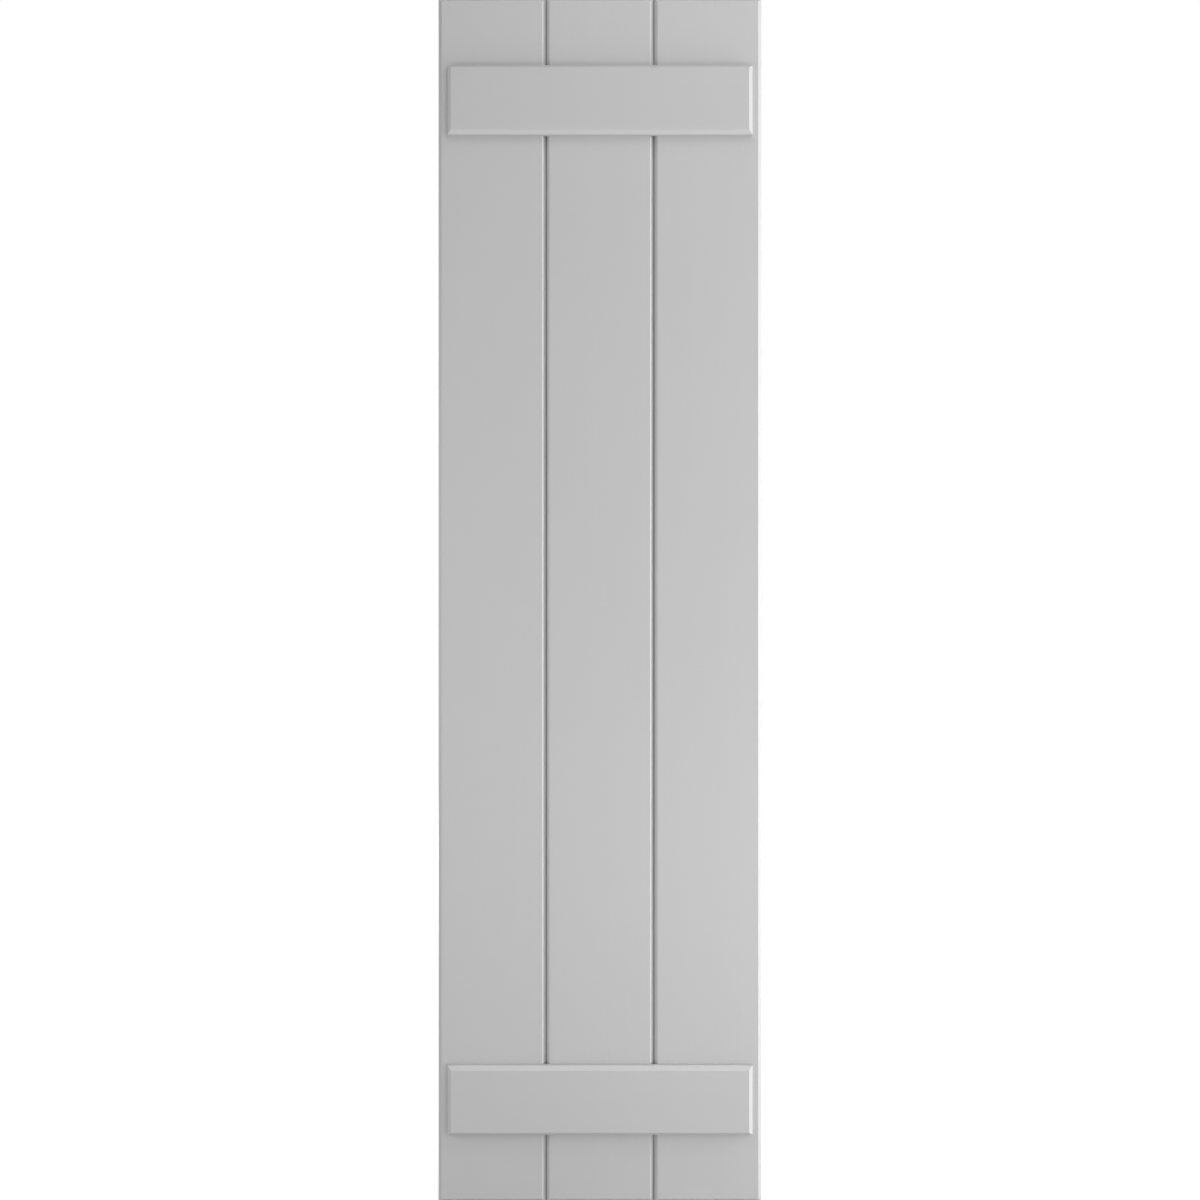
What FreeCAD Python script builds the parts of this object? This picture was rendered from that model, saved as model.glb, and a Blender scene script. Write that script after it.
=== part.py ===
import FreeCAD
import Part
import Sketcher
import os

# Board and batten shutter, in millimetres.
# Three upright bevelled boards lie edge to edge, two bevelled battens cross their front,
# and flat-head screws driven from the back hold each board to each batten.
# The front faces -Y and Z is up. The origin is the centre of the flat back face.

# Driving dimensions: name, value, what it is
SIZES = (
    ("board_length", 1524.0, "height of the shutter"),
    ("board_width", 136.525, "width of one board"),
    ("board_thickness", 9.525, "thickness of a board"),
    ("board_bevel", 4.7625, "bevel around the front face of a board"),
    ("seam_gap", 0.1, "hairline joint between two boards"),
    ("batten_height", 87.3125, "height of a batten"),
    ("batten_thickness", 9.525, "thickness of a batten"),
    ("batten_bevel", 4.7625, "bevel around the front face of a batten"),
    ("batten_side_inset", 12.7, "from the outer edge of the boards to the end of a batten"),
    ("batten_end_inset", 88.1, "from the end of the boards to the outer edge of a batten"),
    ("screw_diameter", 4.2, "diameter of the screw's shank"),
    ("tip_diameter", 0.8, "blunt end of the screw's point"),
    ("tip_length", 3.2, "length of the screw's point"),
    ("tip_cover", 2.975, "batten left in front of the screw's point"),
    ("head_diameter", 8.4, "diameter of the flat head"),
    ("head_angle", 82.0, "included angle of the flat head, in degrees"),
    ("head_rim", 0.25, "upright rim of the flat head"),
    ("head_setback", 0.3, "depth of the head below the back face"),
    ("recess_span", 4.5, "length of one slot of the cross recess"),
    ("recess_width", 1.2, "width of one slot of the cross recess"),
    ("recess_depth", 1.7, "depth of the cross recess"),
    ("screw_side_inset", 30.0, "from the edge of a board to a screw"),
    ("screw_edge_inset", 20.0, "from the edge of a batten to a screw"),
    ("shank_clearance", 0.15, "space around the shank in a board"),
    ("pilot_clearance", 0.05, "space around the shank in a batten"),
    ("point_clearance", 0.4, "space beyond the screw's point in a batten"),
    ("head_clearance", 0.05, "space around the head in its countersink"),
)

BOARDS = (("left", -1), ("middle", 0), ("right", 1))
BATTENS = (("top", 1), ("bottom", -1))

# Places and lengths that follow from the driving dimensions
BOARD_PITCH = "(Sizes.board_width + Sizes.seam_gap)"
BATTEN_RISE = "(Sizes.board_length / 2 - Sizes.batten_end_inset - Sizes.batten_height / 2)"
BATTEN_LENGTH = "(3 * Sizes.board_width + 2 * Sizes.seam_gap - 2 * Sizes.batten_side_inset)"
SCREW_ACROSS = "(Sizes.board_width / 2 - Sizes.screw_side_inset)"
SCREW_ALONG = "(Sizes.batten_height / 2 - Sizes.screw_edge_inset)"
SCREW_LENGTH = (
    "(Sizes.board_thickness + Sizes.batten_thickness - Sizes.head_setback - Sizes.tip_cover)"
)
HEAD_SLOPE = "tan(Sizes.head_angle / 2)"
HEAD_HEIGHT = (
    f"(Sizes.head_rim + (Sizes.head_diameter - Sizes.screw_diameter) / 2 / {HEAD_SLOPE})"
)
COUNTERSINK_DIAMETER = (
    "(Sizes.head_diameter + 2 * Sizes.head_clearance"
    f" + 2 * (Sizes.head_setback + Sizes.head_rim) * {HEAD_SLOPE})"
)


def make_sheet(doc):
    sheet = doc.addObject("Spreadsheet::Sheet", "Sizes")
    for row, (name, value, note) in enumerate(SIZES, start=1):
        sheet.set(f"A{row}", name)
        sheet.set(f"B{row}", str(value))
        sheet.set(f"C{row}", note)
        sheet.setAlias(f"B{row}", name)
    doc.recompute()
    return sheet


def origin_plane(body, role):
    for feature in body.Origin.OriginFeatures:
        if feature.Role == role:
            return feature
    raise RuntimeError(f"{body.Label} has no {role}")


def new_sketch(body, name, role):
    sketch = body.newObject("Sketcher::SketchObject", name)
    sketch.AttachmentSupport = (origin_plane(body, role), [""])
    sketch.MapMode = "FlatFace"
    return sketch


def number(sketch, expression):
    return float(sketch.evalExpression(expression))


def place_point(sketch, geometry, vertex, name, across, up):
    """Tie one point of a sketch to the sketch's origin by two signed distances."""
    for axis, expression in (("X", across), ("Y", up)):
        if expression == "0":
            other_axis = -2 if axis == "X" else -1
            constraint = Sketcher.Constraint("PointOnObject", geometry, vertex, other_axis)
            sketch.addConstraint(constraint)
            continue
        value = number(sketch, expression)
        constraint = Sketcher.Constraint(f"Distance{axis}", -1, 1, geometry, vertex, value)
        index = sketch.addConstraint(constraint)
        sketch.renameConstraint(index, f"{name}_{axis}")
        sketch.setExpression(f"Constraints.{name}_{axis}", expression)


def polygon_sketch(body, name, role, corners):
    """Closed outline whose corners are pairs of expressions, across and up."""
    sketch = new_sketch(body, name, role)
    points = [
        FreeCAD.Vector(number(sketch, across), number(sketch, up), 0)
        for across, up in corners
    ]
    count = len(points)
    for index in range(count):
        sketch.addGeometry(Part.LineSegment(points[index], points[(index + 1) % count]), False)
    for index in range(count):
        following = (index + 1) % count
        sketch.addConstraint(Sketcher.Constraint("Coincident", index, 2, following, 1))
    for index, (across, up) in enumerate(corners):
        place_point(sketch, index, 1, f"corner{index}", across, up)
    return sketch


def hole_sketch(body, name, centres, diameter):
    """Circles on the back face of a piece, one for each screw."""
    sketch = new_sketch(body, name, "XZ_Plane")
    radius = number(sketch, diameter) / 2
    for index, (across, up) in enumerate(centres):
        centre = FreeCAD.Vector(number(sketch, across), number(sketch, up), 0)
        circle = Part.Circle(centre, FreeCAD.Vector(0, 0, 1), radius)
        sketch.addGeometry(circle, False)
        place_point(sketch, index, 3, f"centre{index}", across, up)
        constraint = sketch.addConstraint(Sketcher.Constraint("Diameter", index, 2 * radius))
        sketch.renameConstraint(constraint, f"diameter{index}")
        sketch.setExpression(f"Constraints.diameter{index}", diameter)
    return sketch


def rectangle(width, height):
    """Corners of a rectangle about the origin."""
    return (
        (f"-{width} / 2", f"-{height} / 2"),
        (f"{width} / 2", f"-{height} / 2"),
        (f"{width} / 2", f"{height} / 2"),
        (f"-{width} / 2", f"{height} / 2"),
    )


def front_edges(feature, thickness):
    """Names of the edges that lie all along the front face."""
    names = []
    for index, edge in enumerate(feature.Shape.Edges, start=1):
        if all(abs(vertex.Point.y + thickness) < 1e-6 for vertex in edge.Vertexes):
            names.append(f"Edge{index}")
    return names


def bevelled_slab(doc, label, width, height, thickness, bevel):
    """Flat slab with its back at y = 0 and a 45 degree bevel around its front face."""
    body = doc.addObject("PartDesign::Body", label)
    body.Label = label
    outline = polygon_sketch(body, f"{label}_outline", "XZ_Plane", rectangle(width, height))
    slab = body.newObject("PartDesign::Pad", f"{label}_slab")
    slab.Profile = outline
    slab.setExpression("Length", thickness)
    doc.recompute()
    edges = front_edges(slab, number(outline, thickness))
    if len(edges) != 4:
        raise RuntimeError(f"{label} has {len(edges)} front edges")
    chamfer = body.newObject("PartDesign::Chamfer", f"{label}_bevel")
    chamfer.Base = (slab, edges)
    chamfer.setExpression("Size", bevel)
    body.Tip = chamfer
    doc.recompute()
    return body


def cut_from_back(doc, body, sketch, name):
    """Screw holes that go in from the back face, through or to a depth set later."""
    hole = body.newObject("PartDesign::Hole", name)
    hole.Profile = sketch
    hole.Reversed = True
    hole.ThreadType = "None"
    hole.Threaded = False
    hole.DrillPoint = "Flat"
    body.Tip = hole
    return hole


def screw_places(board_index):
    """Centres of the screws at the crossings of one board, about the shutter's centre."""
    places = []
    for batten_name, batten_side in BATTENS:
        for number_there, turn in ((1, -1), (2, 1)):
            across = f"({board_index} * {BOARD_PITCH} + {turn} * {SCREW_ACROSS})"
            up = f"({batten_side} * {BATTEN_RISE} - {turn} * {SCREW_ALONG})"
            places.append((batten_name, number_there, across, up))
    return places


def make_board(doc, name, index):
    """One upright board with its countersunk screw holes."""
    label = f"board_{name}"
    body = bevelled_slab(
        doc, label, "Sizes.board_width", "Sizes.board_length",
        "Sizes.board_thickness", "Sizes.board_bevel",
    )
    centres = [(across, up) for _, _, across, up in screw_places(0)]
    diameter = "(Sizes.screw_diameter + 2 * Sizes.shank_clearance)"
    sketch = hole_sketch(body, f"{label}_hole_centres", centres, diameter)
    doc.recompute()
    holes = cut_from_back(doc, body, sketch, f"{label}_screw_holes")
    holes.DepthType = "ThroughAll"
    holes.HoleCutType = "Countersink"
    holes.HoleCutCustomValues = True
    holes.setExpression("Diameter", diameter)
    holes.setExpression("HoleCutDiameter", COUNTERSINK_DIAMETER)
    holes.setExpression("HoleCutCountersinkAngle", "Sizes.head_angle")
    body.setExpression("Placement.Base.x", f"{index} * {BOARD_PITCH}")
    doc.recompute()
    return body


def make_batten(doc, name, side):
    """One batten across the boards, with a pilot hole for each screw."""
    label = f"batten_{name}"
    body = bevelled_slab(
        doc, label, BATTEN_LENGTH, "Sizes.batten_height",
        "Sizes.batten_thickness", "Sizes.batten_bevel",
    )
    centres = []
    for _, board_index in BOARDS:
        for turn in (-1, 1):
            across = f"({board_index} * {BOARD_PITCH} + {turn} * {SCREW_ACROSS})"
            centres.append((across, f"(-{turn} * {SCREW_ALONG})"))
    diameter = "(Sizes.screw_diameter + 2 * Sizes.pilot_clearance)"
    sketch = hole_sketch(body, f"{label}_pilot_centres", centres, diameter)
    doc.recompute()
    holes = cut_from_back(doc, body, sketch, f"{label}_pilot_holes")
    holes.DepthType = "Dimension"
    holes.setExpression("Diameter", diameter)
    holes.setExpression(
        "Depth", "Sizes.batten_thickness - Sizes.tip_cover + Sizes.point_clearance"
    )
    body.setExpression("Placement.Base.y", "-Sizes.board_thickness")
    body.setExpression("Placement.Base.z", f"{side} * {BATTEN_RISE}")
    doc.recompute()
    return body


def make_screw(doc, label, across, up):
    """One flat-head screw: its axis is the body's Z, its head at the top."""
    body = doc.addObject("PartDesign::Body", label)
    body.Label = label
    profile = polygon_sketch(body, f"{label}_profile", "XZ_Plane", (
        ("0", "0"),
        ("Sizes.head_diameter / 2", "0"),
        ("Sizes.head_diameter / 2", "-Sizes.head_rim"),
        ("Sizes.screw_diameter / 2", f"-{HEAD_HEIGHT}"),
        ("Sizes.screw_diameter / 2", f"Sizes.tip_length - {SCREW_LENGTH}"),
        ("Sizes.tip_diameter / 2", f"-{SCREW_LENGTH}"),
        ("0", f"-{SCREW_LENGTH}"),
    ))
    turned = body.newObject("PartDesign::Revolution", f"{label}_turned")
    turned.Profile = profile
    turned.ReferenceAxis = (profile, ["V_Axis"])
    turned.Angle = 360
    doc.recompute()
    long = "Sizes.recess_span / 2"
    short = "Sizes.recess_width / 2"
    cross = polygon_sketch(body, f"{label}_cross", "XY_Plane", (
        (f"-{short}", f"-{long}"), (short, f"-{long}"),
        (short, f"-{short}"), (long, f"-{short}"),
        (long, short), (short, short),
        (short, long), (f"-{short}", long),
        (f"-{short}", short), (f"-{long}", short),
        (f"-{long}", f"-{short}"), (f"-{short}", f"-{short}"),
    ))
    recess = body.newObject("PartDesign::Pocket", f"{label}_recess")
    recess.Profile = cross
    recess.setExpression("Length", "Sizes.recess_depth")
    body.Tip = recess
    facing_back = FreeCAD.Rotation(FreeCAD.Vector(1, 0, 0), -90)
    body.Placement = FreeCAD.Placement(FreeCAD.Vector(0, 0, 0), facing_back)
    body.setExpression("Placement.Base.x", across)
    body.setExpression("Placement.Base.y", "-Sizes.head_setback")
    body.setExpression("Placement.Base.z", up)
    doc.recompute()
    return body


def check(doc, bodies):
    for item in doc.Objects:
        if "Invalid" in item.State or "Error" in item.State:
            raise RuntimeError(f"{item.Name} failed: {item.State}")
    for body in bodies:
        shape = body.Shape
        if shape.isNull() or not shape.isValid() or len(shape.Solids) != 1:
            raise RuntimeError(f"{body.Label} is not one valid solid")
        for feature in body.Group:
            if feature.isDerivedFrom("PartDesign::Hole") or feature.isDerivedFrom("PartDesign::Pocket"):
                if feature.Shape.Volume >= feature.BaseFeature.Shape.Volume - 1e-3:
                    raise RuntimeError(f"{feature.Name} cuts nothing")


def main():
    doc = FreeCAD.newDocument("shutter")
    make_sheet(doc)
    bodies = [make_board(doc, name, index) for name, index in BOARDS]
    bodies += [make_batten(doc, name, side) for name, side in BATTENS]
    for board_name, board_index in BOARDS:
        for batten_name, number_there, across, up in screw_places(board_index):
            label = f"screw_{batten_name}_{board_name}_{number_there}"
            bodies.append(make_screw(doc, label, across, up))
    doc.recompute()
    check(doc, bodies)
    os.makedirs("parts", exist_ok=True)
    for body in bodies:
        body.Shape.exportStep(f"parts/{body.Label}.step")
        box = body.Shape.BoundBox
        print(
            f"{body.Label}: x {box.XMin:.2f}..{box.XMax:.2f}, y {box.YMin:.2f}..{box.YMax:.2f},"
            f" z {box.ZMin:.2f}..{box.ZMax:.2f}, volume {body.Shape.Volume:.1f}"
        )


main()
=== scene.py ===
import math

import bpy
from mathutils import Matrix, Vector


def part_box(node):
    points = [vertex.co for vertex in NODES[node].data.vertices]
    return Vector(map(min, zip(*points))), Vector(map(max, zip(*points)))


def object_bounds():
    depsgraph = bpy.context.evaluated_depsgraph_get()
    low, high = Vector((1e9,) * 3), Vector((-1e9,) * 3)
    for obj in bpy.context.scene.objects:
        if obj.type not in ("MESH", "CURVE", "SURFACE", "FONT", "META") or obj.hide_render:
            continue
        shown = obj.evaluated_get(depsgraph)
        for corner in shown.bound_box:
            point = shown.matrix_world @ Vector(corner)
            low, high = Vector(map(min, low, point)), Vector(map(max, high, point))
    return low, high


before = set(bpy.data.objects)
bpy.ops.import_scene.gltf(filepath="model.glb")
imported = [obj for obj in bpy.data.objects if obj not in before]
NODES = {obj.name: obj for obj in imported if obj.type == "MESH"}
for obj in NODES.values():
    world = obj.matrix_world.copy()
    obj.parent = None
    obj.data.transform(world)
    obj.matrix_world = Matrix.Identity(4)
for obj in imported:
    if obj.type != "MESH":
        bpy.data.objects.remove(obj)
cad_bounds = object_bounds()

# Board and batten shutter, in metres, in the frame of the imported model.
# The front faces -Y and the shutter stands upright on the floor.

# Axes by number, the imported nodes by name, and the places read from them
X, Y, Z = 0, 1, 2
FLOOR_Z = cad_bounds[0].z
FACE_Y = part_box("board_middle")[0].y
HEAD_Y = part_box("screw_top_left_1")[1].y
JOINT_X = (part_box("board_middle")[1].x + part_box("board_right")[0].x) / 2

# Camera: level, centred on the shutter, straight in front of it
CAMERA_DISTANCE = 1.352
CAMERA_LENS_MM = 32.07
SENSOR_MM = 36.0

# Boards and battens, each with the point where its own part of the pattern starts
BOARD_STARTS = {
    "board_left": (0.0, 0.0, 0.0),
    "board_middle": (0.0, 0.31, 0.37),
    "board_right": (0.0, 0.62, 0.74),
}
BATTEN_STARTS = {
    "batten_top": (0.0, 0.17, 0.0),
    "batten_bottom": (0.41, 0.40, 0.0),
}

# Rounding of their sharp edges, and what counts as one point, as one flat face and as a sharp edge
ARRIS = 0.0002
SAME_POINT = 0.000005
SAME_FACE = math.radians(1)
SHARP_EDGE = math.radians(35)

# Finish of the trim boards: one smooth factory coat over a machined board
TRIM_COLOUR = 0.52
TRIM_ROUGHNESS = 0.5
TRIM_SPECULAR = 0.3

# Fineness of the coat's patterns, in repeats per metre; lines and streaks have less along the grain
CLOUDS = 9.0
STREAKS = 160.0
LINES = 900.0
STIPPLE = 1300.0
PORES = 1500.0
ALONG_GRAIN = 0.004

# Size of an open pore as a share of its spacing, and the distance between two marks of the cutter
PORE_SIZE = 0.35
CUTTER_PITCH = 0.0011

# Facing along an axis runs from 0 to 1: a surface turns slanted, and then square, in these ranges
SLANTED = (0.55, 0.65)
SQUARE = (0.85, 0.95)

# Dust and painted shade beside the joints between the boards, darkening the bottom of each groove: full
# up to its core, and gone at its reach
DUST_AND_SHADE_CORE = 0.0003
DUST_AND_SHADE_REACH = 0.0009

# How much each pattern changes the coat's brightness, roughness and height
TRIM_WEIGHTS = {
    "brightness": {
        "clouds": 0.022,
        "streaks": 0.016,
        "lines": 0.012,
        "stipple": 0.012,
        "pores": 0.18,
        "cutter": 0.005,
        # square sides: the sawn edge's own darker tone, with painted shade that tones down the side
        # lamp's strong light on them
        "sawn_side_and_shade": -0.17,
        # dust in the joints, with painted shade that darkens the bottom of each groove
        "dust_and_shade": -0.55,
    },
    "roughness": {"clouds": 0.10, "stipple": 0.10, "lines": 0.08, "pores": -0.25, "sawn_side_and_shade": 0.15},
    "height": {"stipple": 0.5, "lines": 0.5, "streaks": 0.7, "pores": 3.0, "cutter": 0.12},
}

# Zinc plated screws: rings across the head's width, and the other patterns in repeats per metre
ZINC_COLOUR = 0.6
ZINC_TINT = (1.0, 1.0, 0.96)
ZINC_ROUGHNESS = 0.36
RECESS_DEPTH = 0.0017
RINGS = 45.0
BLOOM = 260.0
GRIT = 2500.0
ZINC_WEIGHTS = {
    "brightness": {"rings": 0.16, "bloom": 0.35, "grit": 0.12, "recess": -0.55},
    "roughness": {"bloom": 0.35, "rings": 0.15, "recess": 0.25},
    "height": {"rings": 1.0, "grit": 0.5},
}

# Height of the bump at a weight of 1
BUMP_HEIGHT = 0.00003

# Soft studio light: name, place, width and height in metres, and power in watts
LAMPS = (
    ("side_lamp", (1.38, -0.25, -0.02), (0.4, 1.8), 26.8),
    ("front_lamp", (0.5, -1.3, 0.6), (0.9, 0.7), 3.8),
    ("top_lamp", (0.2, -0.5, 1.3), (1.0, 0.5), 3.3),
    ("left_lamp", (-1.2, -0.5, 0.1), (0.3, 0.4), 5.4),
    ("low_lamp", (0.3, -1.0, -0.55), (1.0, 0.3), 3.4),
    ("back_lamp", (-0.8, 2.4, 1.0), (0.9, 0.9), 30.0),
)
AMBIENT = 0.25

# Floor: it reads as white, and glows less around the shutter, where the lamps light it more
FLOOR_HALF_WIDTH = 6.0
FLOOR_COLOUR = 0.58
GLOW_NEAR = 0.61
GLOW_FAR = 0.86
NEAR_DISTANCE = 0.4
FAR_DISTANCE = 1.8


def new_object(name, data):
    piece = bpy.data.objects.new(name, data)
    bpy.context.scene.collection.objects.link(piece)
    return piece


class Shader:
    """Small helper that adds and links the nodes of one material or world."""

    def __init__(self, owner):
        owner.use_nodes = True
        self.tree = owner.node_tree
        self.surface = self.tree.nodes.get("Principled BSDF")

    def node(self, kind, **settings):
        made = self.tree.nodes.new(kind)
        for name, value in settings.items():
            setattr(made, name, value)
        return made

    def link(self, source, target):
        self.tree.links.new(source, target)

    def feed(self, socket, value):
        """Link another node's output to a socket, or set a plain value on it."""
        if isinstance(value, bpy.types.NodeSocket):
            self.link(value, socket)
        else:
            socket.default_value = value

    def math(self, operation, *values, clamp=False):
        made = self.node("ShaderNodeMath", operation=operation, use_clamp=clamp)
        for socket, value in zip(made.inputs, values):
            self.feed(socket, value)
        return made.outputs["Value"]

    def vector_math(self, operation, *values):
        made = self.node("ShaderNodeVectorMath", operation=operation)
        for socket, value in zip(made.inputs, values):
            self.feed(socket, value)
        return made.outputs["Value" if operation == "LENGTH" else "Vector"]

    def coordinates(self, kind="Object"):
        return self.node("ShaderNodeTexCoord").outputs[kind]

    def xyz(self, vector):
        """The three parts of a vector."""
        parts = self.node("ShaderNodeSeparateXYZ")
        self.link(vector, parts.inputs["Vector"])
        return [parts.outputs[axis] for axis in ("X", "Y", "Z")]

    def facing(self):
        """How far the surface faces along each axis, as three numbers from 0 to 1."""
        geometry = self.node("ShaderNodeNewGeometry")
        return [self.math("ABSOLUTE", part) for part in self.xyz(geometry.outputs["True Normal"])]

    def place(self, fineness, stretch=(1.0, 1.0, 1.0), start=(0.0, 0.0, 0.0)):
        """Object coordinates from a start, in repeats per metre; stretch is each axis's share of them."""
        scale = [fineness * share for share in stretch]
        mapping = self.node("ShaderNodeMapping")
        self.link(self.coordinates(), mapping.inputs["Vector"])
        mapping.inputs["Location"].default_value = [s * k for s, k in zip(start, scale)]
        mapping.inputs["Scale"].default_value = scale
        return mapping.outputs["Vector"]

    def noise(self, vector, detail):
        """Noise about zero, from about -0.5 to 0.5."""
        made = self.node("ShaderNodeTexNoise")
        self.link(vector, made.inputs["Vector"])
        made.inputs["Scale"].default_value = 1.0
        made.inputs["Detail"].default_value = detail
        return self.math("SUBTRACT", made.outputs["Fac"], 0.5)

    def ramp(self, value, low, high, to_low=0.0, to_high=1.0):
        """One value for all below the low limit, another above the high one, and a slope between."""
        made = self.node("ShaderNodeMapRange", clamp=True)
        self.feed(made.inputs["Value"], value)
        made.inputs["From Min"].default_value = low
        made.inputs["From Max"].default_value = high
        made.inputs["To Min"].default_value = to_low
        made.inputs["To Max"].default_value = to_high
        return made.outputs["Result"]

    def total(self, patterns, weights):
        """Sum of the patterns that the piece has, each times its weight."""
        result = 0.0
        for name, weight in weights.items():
            if name in patterns:
                result = self.math("MULTIPLY_ADD", patterns[name], weight, result)
        return result

    def grey(self, level, variation, tint):
        """Base colour: a level times one plus the variation, with a slight tint."""
        value = self.math("MULTIPLY", self.math("ADD", variation, 1.0), level)
        combined = self.node("ShaderNodeCombineColor")
        for socket, share in zip(combined.inputs, tint):
            self.link(self.math("MULTIPLY", value, share), socket)
        self.link(combined.outputs["Color"], self.surface.inputs["Base Color"])

    def bump(self, height):
        made = self.node("ShaderNodeBump")
        made.inputs["Distance"].default_value = BUMP_HEIGHT
        made.inputs["Strength"].default_value = 1.0
        self.link(height, made.inputs["Height"])
        self.link(made.outputs["Normal"], self.surface.inputs["Normal"])

    def coat(self, patterns, weights, level, roughness, tint=(1.0, 1.0, 1.0)):
        """Base colour, roughness and bump, each from its own sum of the same patterns."""
        self.grey(level, self.total(patterns, weights["brightness"]), tint)
        rough = self.math("ADD", self.total(patterns, weights["roughness"]), roughness, clamp=True)
        self.link(rough, self.surface.inputs["Roughness"])
        self.bump(self.total(patterns, weights["height"]))


def open_pores(shader, start):
    """Open pores of the board's foam core, -1 in the middle of a pore and 0 around it."""
    pores = shader.node("ShaderNodeTexVoronoi", feature="F1")
    shader.link(shader.place(PORES, start=start), pores.inputs["Vector"])
    return shader.ramp(pores.outputs["Distance"], 0.0, PORE_SIZE, -1.0, 0.0)


def cutter_ripple(shader, toward):
    """Ripple that the moulding cutter leaves along each bevel, from -1 to 1."""
    along_x, _, along_z = shader.xyz(shader.coordinates())
    travel_x = shader.math("MULTIPLY", along_x, toward[Z])
    travel = shader.math("MULTIPLY_ADD", along_z, toward[X], travel_x)
    turns_per_metre = math.sqrt(2) / CUTTER_PITCH
    return shader.math("SINE", shader.math("MULTIPLY", travel, 2 * math.pi * turns_per_metre))


def joint_dust_and_shade(shader):
    """Dust and painted shade beside the joints between the boards, 1 at a joint and 0 away from it."""
    along_x, _, _ = shader.xyz(shader.coordinates())
    from_joint = shader.math("SUBTRACT", shader.math("ABSOLUTE", along_x), JOINT_X)
    distance = shader.math("ABSOLUTE", from_joint)
    return shader.ramp(distance, DUST_AND_SHADE_CORE, DUST_AND_SHADE_REACH, 1.0, 0.0)


def trim_finish(name, grain_axis, start, jointed=False):
    """Smooth light grey coat on a machined trim board, its fine lines along the grain."""
    material = bpy.data.materials.new(name)
    shader = Shader(material)
    stretch = [1.0, 1.0, 1.0]
    stretch[grain_axis] = ALONG_GRAIN
    side_axis = X if grain_axis == Z else Z

    toward = shader.facing()
    sawn_end = shader.ramp(toward[grain_axis], *SQUARE)
    slanted = shader.ramp(toward[Y], *SLANTED)
    not_flat = shader.ramp(toward[Y], *SQUARE, 1.0, 0.0)
    bevel = shader.math("MULTIPLY", slanted, not_flat)

    patterns = {
        "clouds": shader.noise(shader.place(CLOUDS, start=start), detail=3.0),
        "streaks": shader.noise(shader.place(STREAKS, stretch, start), detail=2.0),
        "lines": shader.noise(shader.place(LINES, stretch, start), detail=3.0),
        "stipple": shader.noise(shader.place(STIPPLE, start=start), detail=1.0),
        "pores": shader.math("MULTIPLY", open_pores(shader, start), sawn_end),
        "cutter": shader.math("MULTIPLY", cutter_ripple(shader, toward), bevel),
        # Square sides a shade darker: partly the sawn edge's own tone, partly painted shade against the
        # side lamp's strong light
        "sawn_side_and_shade": shader.ramp(toward[side_axis], *SQUARE),
    }
    # Dust in the joints, with painted shade that darkens the bottom of each groove between two boards
    if jointed:
        patterns["dust_and_shade"] = joint_dust_and_shade(shader)
    shader.coat(patterns, TRIM_WEIGHTS, TRIM_COLOUR, TRIM_ROUGHNESS)
    shader.surface.inputs["Specular IOR Level"].default_value = TRIM_SPECULAR
    return material


def turned_rings(shader):
    """Fine rings about the screw's axis, from about -0.5 to 0.5."""
    # Generated coordinates run from 0 to 1 across the head, so its axis lies at 0.5
    from_axis = shader.vector_math("SUBTRACT", shader.coordinates("Generated"), (0.5, 0.0, 0.5))
    across = shader.vector_math("MULTIPLY", from_axis, (1.0, 0.0, 1.0))
    rings = shader.node("ShaderNodeTexNoise", noise_dimensions="1D")
    shader.link(shader.vector_math("LENGTH", across), rings.inputs["W"])
    rings.inputs["Scale"].default_value = RINGS
    return shader.math("SUBTRACT", rings.outputs["Fac"], 0.5)


def screw_finish():
    """Bright zinc on turned steel: rings about the axis, dull and darker in the recess."""
    material = bpy.data.materials.new("screw_zinc")
    shader = Shader(material)
    _, depth, _ = shader.xyz(shader.coordinates())
    patterns = {
        "rings": turned_rings(shader),
        "bloom": shader.noise(shader.place(BLOOM), detail=3.0),
        "grit": shader.noise(shader.place(GRIT), detail=2.0),
        "recess": shader.ramp(depth, HEAD_Y - RECESS_DEPTH, HEAD_Y, 1.0, 0.0),
    }
    shader.coat(patterns, ZINC_WEIGHTS, ZINC_COLOUR, ZINC_ROUGHNESS, ZINC_TINT)
    shader.surface.inputs["Metallic"].default_value = 1.0
    return material


def soften_edges(piece):
    """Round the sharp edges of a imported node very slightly; its flat faces stay flat."""
    mesh = piece.data
    if "custom_normal" in mesh.attributes:
        mesh.attributes.remove(mesh.attributes["custom_normal"])
    mesh.shade_flat()
    weld = piece.modifiers.new("join_faces", "WELD")
    weld.merge_threshold = SAME_POINT
    plain_faces = piece.modifiers.new("plain_faces", "DECIMATE")
    plain_faces.decimate_type = "DISSOLVE"
    plain_faces.angle_limit = SAME_FACE
    bevel = piece.modifiers.new("arris", "BEVEL")
    bevel.width = ARRIS
    bevel.segments = 2
    bevel.limit_method = "ANGLE"
    bevel.angle_limit = SHARP_EDGE


def dress(piece, material):
    piece.data.materials.clear()
    piece.data.materials.append(material)


def finish_boards():
    for name, start in BOARD_STARTS.items():
        dress(NODES[name], trim_finish(f"{name}_coat", Z, start, jointed=True))
        soften_edges(NODES[name])


def finish_battens():
    for name, start in BATTEN_STARTS.items():
        dress(NODES[name], trim_finish(f"{name}_coat", X, start))
        soften_edges(NODES[name])


def finish_screws():
    zinc = screw_finish()
    for name, piece in NODES.items():
        if name.startswith("screw_"):
            dress(piece, zinc)


def make_camera():
    data = bpy.data.cameras.new("camera")
    data.lens = CAMERA_LENS_MM
    data.sensor_width = SENSOR_MM
    camera = new_object("camera", data)
    camera.location = (0.0, FACE_Y - CAMERA_DISTANCE, 0.0)
    camera.rotation_euler = (math.pi / 2, 0.0, 0.0)
    bpy.context.scene.camera = camera


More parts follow.
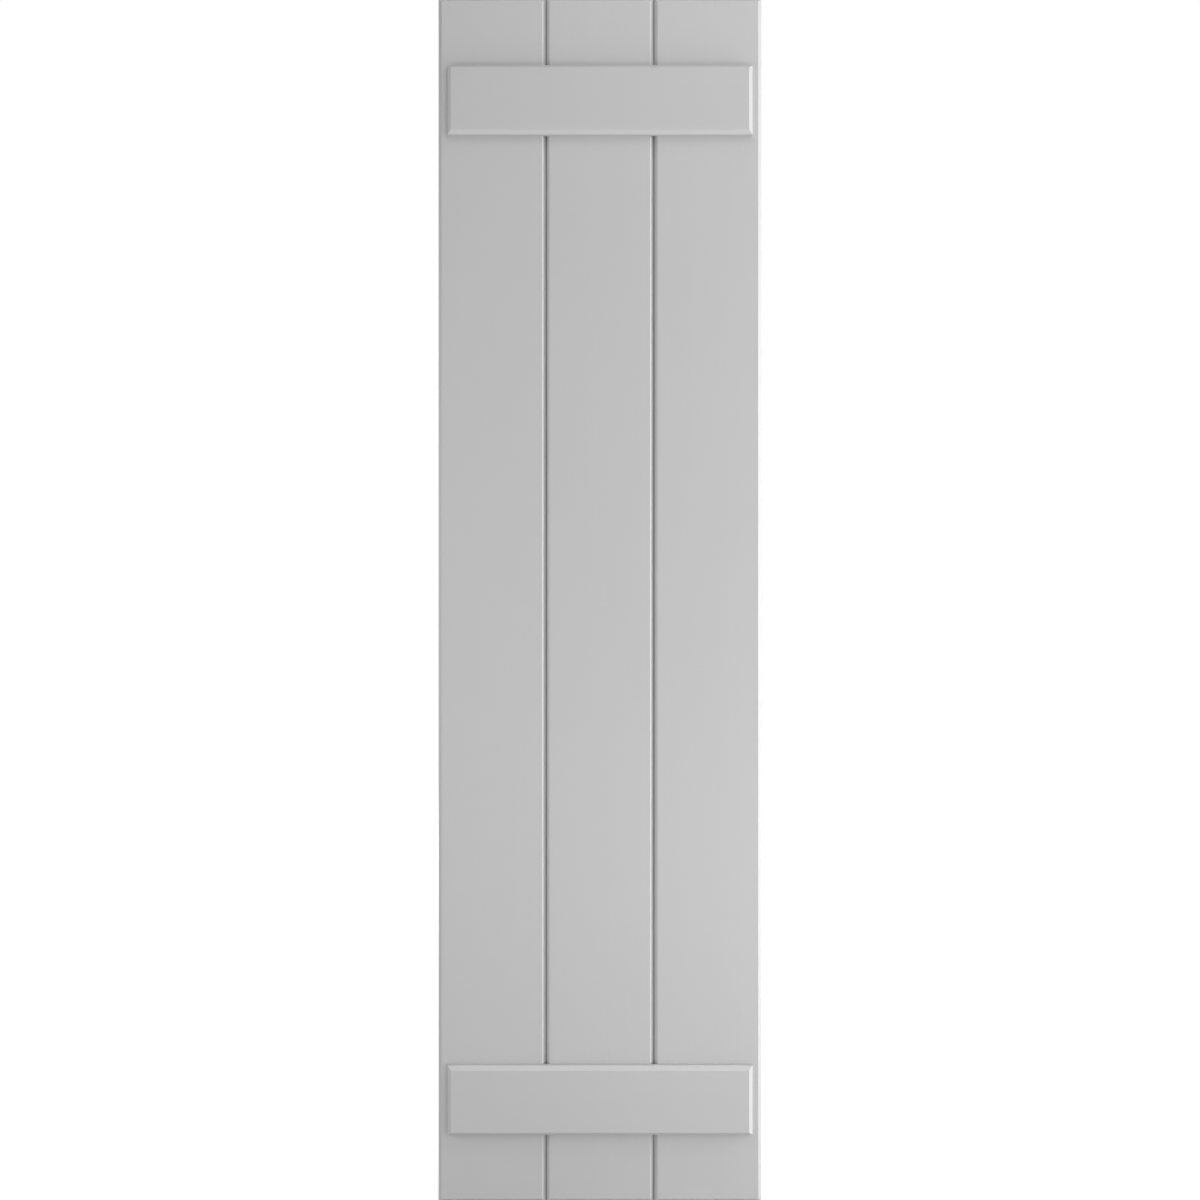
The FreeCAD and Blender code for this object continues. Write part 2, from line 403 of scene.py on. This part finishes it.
def seen_directly(shader):
    """1 for rays from the camera, from gloss and from glass, and 0 for the others."""
    path = shader.node("ShaderNodeLightPath")
    result = path.outputs["Is Camera Ray"]
    for name in ("Is Glossy Ray", "Is Transmission Ray"):
        result = shader.math("MAXIMUM", result, path.outputs[name])
    return result


def make_world():
    """White background where it is seen, plain soft light on everything else."""
    world = bpy.data.worlds.new("studio")
    bpy.context.scene.world = world
    shader = Shader(world)
    background = shader.tree.nodes["Background"]
    background.inputs["Color"].default_value = (1.0, 1.0, 1.0, 1.0)
    strength = shader.ramp(seen_directly(shader), 0.0, 1.0, AMBIENT, 1.0)
    shader.link(strength, background.inputs["Strength"])


def floor_finish():
    """Pale matte floor that glows where it is seen, so that it reads as white."""
    material = bpy.data.materials.new("floor_white")
    shader = Shader(material)
    shader.tree.nodes.remove(shader.surface)
    matte = shader.node("ShaderNodeBsdfDiffuse")
    matte.inputs["Color"].default_value = (FLOOR_COLOUR, FLOOR_COLOUR, FLOOR_COLOUR, 1.0)
    glow = shader.node("ShaderNodeEmission")
    distance = shader.vector_math("LENGTH", shader.place(1.0, stretch=(1.0, 1.0, 0.0)))
    level = shader.ramp(distance, NEAR_DISTANCE, FAR_DISTANCE, GLOW_NEAR, GLOW_FAR)
    shader.link(level, glow.inputs["Strength"])
    added = shader.node("ShaderNodeAddShader")
    shader.link(matte.outputs[0], added.inputs[0])
    shader.link(glow.outputs[0], added.inputs[1])
    choice = shader.node("ShaderNodeMixShader")
    shader.link(seen_directly(shader), choice.inputs[0])
    shader.link(matte.outputs[0], choice.inputs[1])
    shader.link(added.outputs[0], choice.inputs[2])
    shader.link(choice.outputs[0], shader.tree.nodes["Material Output"].inputs["Surface"])
    return material


def make_floor():
    """Plain floor that keeps the shutter's shadow."""
    half = FLOOR_HALF_WIDTH
    mesh = bpy.data.meshes.new("floor")
    corners = [(x, y, FLOOR_Z) for x, y in ((-half, -half), (half, -half), (half, half), (-half, half))]
    mesh.from_pydata(corners, [], [(0, 1, 2, 3)])
    mesh.materials.append(floor_finish())
    new_object("floor", mesh)


def make_lamps():
    """Rectangular lamps aimed at the middle of the shutter, themselves unseen by the camera."""
    for name, place, size, power in LAMPS:
        data = bpy.data.lights.new(name, "AREA")
        data.shape = "RECTANGLE"
        data.size, data.size_y = size
        data.energy = power
        lamp = new_object(name, data)
        lamp.location = place
        lamp.rotation_euler = Vector(place).to_track_quat("Z", "Y").to_euler()
        lamp.visible_camera = False


def main():
    make_camera()
    finish_boards()
    finish_battens()
    finish_screws()
    make_world()
    make_floor()
    make_lamps()
    bpy.context.scene.view_settings.view_transform = "Standard"


main()
